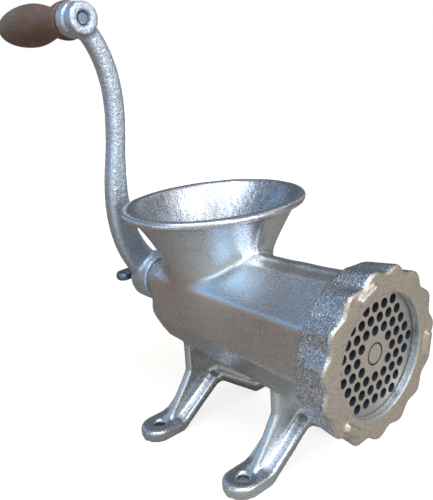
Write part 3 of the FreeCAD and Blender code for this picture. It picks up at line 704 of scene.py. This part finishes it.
@dataclass
class GrinderBody(Casting):
    """Barrel, hopper and legs in one casting, with the mould's parting line on the hopper."""

    node: str = "grinder_body"
    body: str = "housing"
    slot: str = "tinned_casting"
    grid_mm: float = 1.6
    edge_passes: int = 3
    fillet_passes: int = 70
    bump_mm: float = 22.0
    bump_depth_mm: float = 0.35
    rim_x_mm: float = -29.0
    rim_half_mm: tuple[float, float] = (63.0, 76.0)
    rim_rise_mm: float = 85.5           # rises are measured from the barrel's axis
    neck_x_mm: float = -33.0
    neck_half_mm: tuple[float, float] = (46.0, 39.0)
    neck_rise_mm: float = 25.0
    wall_mm: float = 4.5
    flare: float = 1.5
    bore_mm: tuple[float, float] = (36.0, 43.5)
    bore_ends_mm: tuple[float, float] = (-62.0, 119.0)
    bore_skin_mm: float = 1.2           # points this close to the bore's wall belong to it
    leg_zone_z: tuple[float, float] = (0.052, 0.082)    # heights between which corners fill up
    hopper_zone_z: tuple[float, float] = (0.125, 0.188)
    rear_zone_x: float = -0.066
    hopper_from_z: float = AXIS_Z + 0.030
    ridge_y_mm: float = -4.0
    ridge_width_mm: float = 2.0
    ridge_height_mm: float = 0.9

    def funnel_share(self, points: np.ndarray) -> np.ndarray:
        """Measure how far out in the funnel points are.

        Args:
            points: places in metres.

        Returns:
            1 in the middle of the funnel's wall, less inside it.
        """
        rise = (points[:, 2] - AXIS_Z) / MM
        share = np.clip((rise - self.neck_rise_mm) / (self.rim_rise_mm - self.neck_rise_mm), 0, 1)
        middle = self.neck_x_mm + (self.rim_x_mm - self.neck_x_mm) * share
        half_x, half_y = [neck + (rim - neck) * share ** self.flare - self.wall_mm / 2
                          for neck, rim in zip(self.neck_half_mm, self.rim_half_mm)]
        return np.hypot((points[:, 0] / MM - middle) / half_x, points[:, 1] / MM / half_y)

    def in_bore(self, points: np.ndarray) -> np.ndarray:
        """Find the points on the barrel's inside.

        Args:
            points: places in metres.

        Returns:
            True for points in or on the bore.
        """
        radius = np.hypot(points[:, 1], points[:, 2] - AXIS_Z) / MM
        wall = np.interp(points[:, 0] / MM, self.bore_ends_mm, self.bore_mm)
        return radius < wall + self.bore_skin_mm

    def fillet_zone(self, points: np.ndarray) -> np.ndarray:
        """Choose the outer corners: hopper on barrel, legs, rear boss.

        Args:
            points: vertex places.

        Returns:
            True where a fillet grows.
        """
        legs, hopper = [(points[:, 2] > low) & (points[:, 2] < high)
                        for low, high in (self.leg_zone_z, self.hopper_zone_z)]
        hopper &= self.funnel_share(points) > 1
        rear = points[:, 0] < self.rear_zone_x
        return (legs | hopper | rear) & ~self.in_bore(points)

    def finishes(self) -> list[CastFinish]:
        """List the body's finishes.

        Returns:
            Skin, then the hopper's inside.
        """
        return [TINNED_SKIN, TINNED_HOPPER]

    def face_finish(self, centres: np.ndarray, normals: np.ndarray) -> np.ndarray:
        """Give the hopper's inside its own finish.

        Args:
            centres: face centres.
            normals: face normals.

        Returns:
            1 inside the hopper, 0 elsewhere.
        """
        inside = (centres[:, 2] > self.hopper_from_z) & (self.funnel_share(centres) < 1)
        return inside.astype(np.int32)

    def detail(self, mesh: bpy.types.Mesh) -> None:
        """Raise the parting line on the hopper's front and back.

        Args:
            mesh: mesh to change.
        """
        points = read(mesh.vertices, "co", 3)
        outside = (self.funnel_share(points) > 1) & ~self.in_bore(points)
        outside &= (points[:, 2] > self.hopper_from_z) & (points[:, 2] < self.hopper_zone_z[1])
        across = (points[:, 1] / MM - self.ridge_y_mm) / self.ridge_width_mm
        push(mesh, np.where(outside, np.exp(-across ** 2), 0) * self.ridge_height_mm * MM)


@dataclass
class RingNut(Casting):
    """Scalloped screw ring: glittering skirt, sandy face, raised bars."""

    node: str = "ring_nut"
    body: str = "ring"
    slot: str = "tinned_ring"
    grid_mm: float = 0.75
    edge_passes: int = 4
    fillet_passes: int = 8
    bump_mm: float = 5.0
    bump_depth_mm: float = 0.08
    face_x: float = 0.1265
    bars_x: float = 0.1302
    front_lean: float = 0.4             # faces that lean forward more than this are the front
    opening_mm: float = 44.2

    def fillet_zone(self, points: np.ndarray) -> np.ndarray:
        """Choose the corners round the bars.

        Args:
            points: vertex places.

        Returns:
            True where a fillet grows.
        """
        return points[:, 0] > self.face_x

    def finishes(self) -> list[CastFinish]:
        """List the ring's finishes.

        Returns:
            Skirt, face, then the opening's wall.
        """
        return [TINNED_SKIRT, SANDY_FACE, PEBBLED_CRANK]

    def face_finish(self, centres: np.ndarray, normals: np.ndarray) -> np.ndarray:
        """Tell the face from the skirt.

        Args:
            centres: face centres.
            normals: face normals.

        Returns:
            1 on the front face and the bars, 2 on the opening's wall, 0 elsewhere.
        """
        front = (normals[:, 0] > self.front_lean) & (centres[:, 0] > self.face_x)
        bars = centres[:, 0] > self.bars_x
        opening = np.hypot(centres[:, 1], centres[:, 2] - AXIS_Z) < self.opening_mm * MM
        return np.where(front | bars, 1, np.where(opening, 2, 0))


@dataclass
class CrankArm(Casting):
    """Curved crank with a pebbled skin."""

    node: str = "crank_arm"
    body: str = "drive"
    slot: str = "crank_casting"
    grid_mm: float = 0.9
    edge_passes: int = 6
    fillet_passes: int = 60
    bump_mm: float = 2.6
    bump_depth_mm: float = 0.22
    groove_from_grip_mm: float = 12.5
    groove_width_mm: float = 1.4
    groove_depth_mm: float = 1.8
    groove_drop: float = 0.009          # how far below the grip's axis the groove runs
    end_lean: float = 0.5               # faces that lean along X more than this are the boss's ends

    def detail(self, mesh: bpy.types.Mesh) -> None:
        """Turn a groove into the top boss, beside the grip.

        Args:
            mesh: mesh to change.
        """
        low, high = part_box("wooden_grip")
        points = read(mesh.vertices, "co", 3)
        normals = read(mesh.vertices, "normal", 3)
        from_grip = (points[:, 0] - high[0]) / MM
        across = (from_grip - self.groove_from_grip_mm) / self.groove_width_mm
        upper = points[:, 2] > (low[2] + high[2]) / 2 - self.groove_drop
        outward = np.abs(normals[:, 0]) < self.end_lean
        depth = np.where(upper & outward, np.exp(-across ** 2), 0) * self.groove_depth_mm * MM
        push(mesh, -depth)

    def finishes(self) -> list[CastFinish]:
        """List the crank's finish.

        Returns:
            The pebbled skin.
        """
        return [PEBBLED_CRANK]


@dataclass
class WingScrew(Casting):
    """Clamping screw with two round-ended wings."""

    node: str = "wing_screw"
    body: str = "wing"
    slot: str = "dark_steel"
    grid_mm: float = 0.7
    edge_passes: int = 6
    fillet_passes: int = 30
    bump_mm: float = 6.0
    bump_depth_mm: float = 0.12

    def finishes(self) -> list[CastFinish]:
        """List the screw's finish.

        Returns:
            Worn dark iron.
        """
        return [DARK_IRON]


@dataclass
class PlainPieces:
    """Turned, ground and hidden pieces, whose CAD shapes stay as they are."""

    finish: CastFinish | MachinedFinish | WoodFinish
    nodes: tuple[str, ...]

    def dress(self) -> None:
        """Give every node the finish."""
        material = self.finish.make()
        for name in self.nodes:
            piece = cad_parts[name]
            piece.data.materials.clear()
            piece.data.materials.append(material)
            LOG.info("dressed %s in %s", name, material.name)


# ---------------------------------------------------------------- studio


@dataclass(frozen=True)
class Card:
    """A tinted board beside the set, seen only in the metal."""

    name: str
    towards: tuple[float, float, float]     # way from the object to the board
    distance: float
    size: tuple[float, float]
    tint: str
    strength: float

    def build(self, middle: Vector) -> None:
        """Stand the board up, facing the object.

        Args:
            middle: point that the board faces.
        """
        board = add_board(self.name, *self.size)
        way = Vector(self.towards).normalized()
        board.location = middle + way * self.distance
        board.rotation_euler = way.to_track_quat("Z", "Y").to_euler()
        board.visible_camera = False
        board.visible_diffuse = False
        board.visible_shadow = False
        material, tree = empty_material(self.name)
        glow = add_node(tree, "ShaderNodeEmission",
                        {"Color": colour(self.tint), "Strength": self.strength})
        finish_material(tree, glow)
        board.data.materials.append(material)


@dataclass(frozen=True)
class Lamp:
    """A square soft box that shines on the object."""

    name: str
    place: tuple[float, float, float]
    size: float                         # side of its face in metres
    power: float                        # watts
    tint: str

    def build(self, middle: Vector) -> None:
        """Hang the lamp.

        Args:
            middle: point that it shines at.
        """
        light = bpy.data.lights.new(self.name, "AREA")
        light.size = self.size
        light.energy = self.power
        light.color = colour(self.tint)[:3]
        lamp = add_object(self.name, light)
        lamp.location = self.place
        way = Vector(self.place) - middle
        lamp.rotation_euler = way.to_track_quat("Z", "Y").to_euler()


@dataclass
class Studio:
    """White table top, soft light from above, and the photograph's camera."""

    eye: tuple[float, float, float] = (0.3511, -0.3208, 0.3106)
    right: tuple[float, float, float] = (0.6581, 0.7498, -0.0685)
    up: tuple[float, float, float] = (-0.1854, 0.2496, 0.9505)
    look: tuple[float, float, float] = (-0.7298, 0.6128, -0.3032)
    lens: float = 46.25
    sensor: float = 36.0
    nearest: float = 0.01               # the camera sees nothing closer than this
    middle: tuple[float, float, float] = (0.0, 0.0, 0.13)
    diffuse_world: float = 0.45
    floor_size: float = 12.0
    floor_z: float = -0.0004            # just under the feet, so that no two faces coincide
    floor_near: float = 0.80            # white that the board adds for the eye beside the object
    floor_white: tuple[float, float] = (0.35, 1.0)  # distances over which that white grows to 1
    # Painted shade: the paint that the metal reflects is darker and browner by the crank than by
    # the plate, as if less light fell there.
    paint_shade_x: tuple[float, float] = (-0.15, 0.2)
    shaded_paint_crank: tuple[float, float, float, float] = (0.36, 0.31, 0.26, 1.0)
    lit_paint_plate: tuple[float, float, float, float] = (0.56, 0.53, 0.48, 1.0)
    lamps: tuple[Lamp, ...] = (
        Lamp("soft_box_overhead", (0.30, -0.35, 1.15), 0.8, 9.0, "#DCE9FF"),
        Lamp("soft_box_right", (0.95, 0.06, 0.56), 0.45, 4.2, "#FFFFFF"),
    )
    cards: tuple[Card, ...] = (
        Card("card_wall", (-0.73, -0.68, -0.10), 1.2, (1.9, 0.46), "#B89A80", 0.95),
        Card("card_horizon", (-0.70, -0.71, 0.19), 1.25, (1.9, 0.40), "#A9BBCD", 0.9),
        Card("card_low_sky", (-0.74, -0.36, 0.48), 1.3, (1.3, 0.5), "#A9CBEC", 1.12),
        Card("card_high_sky", (-0.50, -0.28, 0.80), 1.25, (1.1, 0.80), "#8C9DB0", 0.92),
        Card("card_behind", (-0.75, 0.60, 0.42), 1.45, (2.3, 1.4), "#838F9A", 0.75),
        Card("card_front", (-0.15, -0.82, 0.56), 1.3, (0.9, 0.5), "#7F8C9B", 0.9),
        Card("card_window", (0.14, -0.98, 0.06), 1.1, (0.7, 0.5), "#C6E0FA", 2.2),
        Card("card_far_side", (0.33, 0.90, 0.24), 1.3, (1.0, 0.7), "#8F99A6", 0.7),
        Card("card_zenith", (0.05, 0.15, 1.0), 1.6, (1.7, 1.7), "#8D9EB2", 0.7),
    )

    def camera(self) -> None:
        """Stand the camera where the photograph was taken."""
        lens = bpy.data.cameras.new("camera")
        lens.lens = self.lens
        lens.sensor_width = self.sensor
        lens.clip_start = self.nearest
        camera = add_object("camera", lens)
        back = tuple(-part for part in self.look)
        place = Matrix((self.right, self.up, back)).transposed().to_4x4()
        place.translation = Vector(self.eye)
        camera.matrix_world = place
        bpy.context.scene.camera = camera

    def world(self) -> None:
        """White all round for the eye and for metal, softer as a light."""
        world = bpy.data.worlds.new("studio")
        bpy.context.scene.world = world
        world.use_nodes = True
        tree = world.node_tree
        tree.nodes.clear()
        rays = add_node(tree, "ShaderNodeLightPath")
        seen = rays.outputs["Is Camera Ray"]
        for name in ("Is Glossy Ray", "Is Transmission Ray"):
            seen = calculate(tree, "MAXIMUM", seen, rays.outputs[name])
        strength = ramp(tree, seen, target=(self.diffuse_world, 1.0))
        back = add_node(tree, "ShaderNodeBackground",
                        {"Color": colour("#FFFFFF"), "Strength": strength})
        add_node(tree, "ShaderNodeOutputWorld", {"Surface": back.outputs[0]})

    def floor(self) -> None:
        """Lay a board that the eye sees as white with a soft shadow, and that metal sees as warm
        grey with painted shade towards the crank.
        """
        top = add_board("table_top", self.floor_size, self.floor_size)
        top.location.z = self.floor_z
        material, tree = empty_material("matt_white_board")
        place = object_place(tree)
        along = add_node(tree, "ShaderNodeSeparateXYZ", {"Vector": place}).outputs["X"]
        # Painted shade: the paint darkens towards the crank.
        paint = mix(tree, ramp(tree, along, self.paint_shade_x), self.shaded_paint_crank, self.lit_paint_plate)
        board = add_node(tree, "ShaderNodeBsdfDiffuse", {"Color": paint})
        away = add_node(tree, "ShaderNodeVectorMath", {0: place}, operation="LENGTH")
        level = ramp(tree, away.outputs["Value"], self.floor_white, (self.floor_near, 1.0))
        eye = add_node(tree, "ShaderNodeLightPath").outputs["Is Camera Ray"]
        glow = add_node(tree, "ShaderNodeEmission",
                        {"Strength": calculate(tree, "MULTIPLY", eye, level)})
        both = add_node(tree, "ShaderNodeAddShader", {0: board.outputs[0], 1: glow.outputs[0]})
        finish_material(tree, both)
        top.data.materials.append(material)

    def build(self) -> None:
        """Set up camera, table, lamps and boards."""
        bpy.context.scene.view_settings.view_transform = "Standard"
        self.camera()
        self.world()
        self.floor()
        for fitting in self.lamps + self.cards:
            fitting.build(Vector(self.middle))


# ---------------------------------------------------------------- the part


def main() -> None:
    """Dress the grinder and set the studio."""
    logging.basicConfig(level=logging.INFO, format="%(name)s: %(message)s")
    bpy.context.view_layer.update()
    for casting in (GrinderBody(), RingNut(), CrankArm(), WingScrew()):
        piece = casting.build()
        LOG.info("cast %s: %d faces", piece.name, len(piece.data.polygons))
    for group in (
        PlainPieces(GROUND_STEEL, ("grinding_plate", "knife_stud")),
        PlainPieces(TURNED_STEEL, ("thrust_washer", "plate_key", "cross_knife", "screw_washer",
                                   "grip_front_washer", "grip_end_washer", "crank_collar")),
        PlainPieces(DARK_IRON, ("grip_spindle",)),
        PlainPieces(TINNED_SKIN, ("feed_screw",)),
        PlainPieces(TURNED_BRONZE, ("rear_bush",)),
        PlainPieces(OILED_WOOD, ("wooden_grip",)),
    ):
        group.dress()
    Studio().build()


if __name__ == "__main__":
    main()
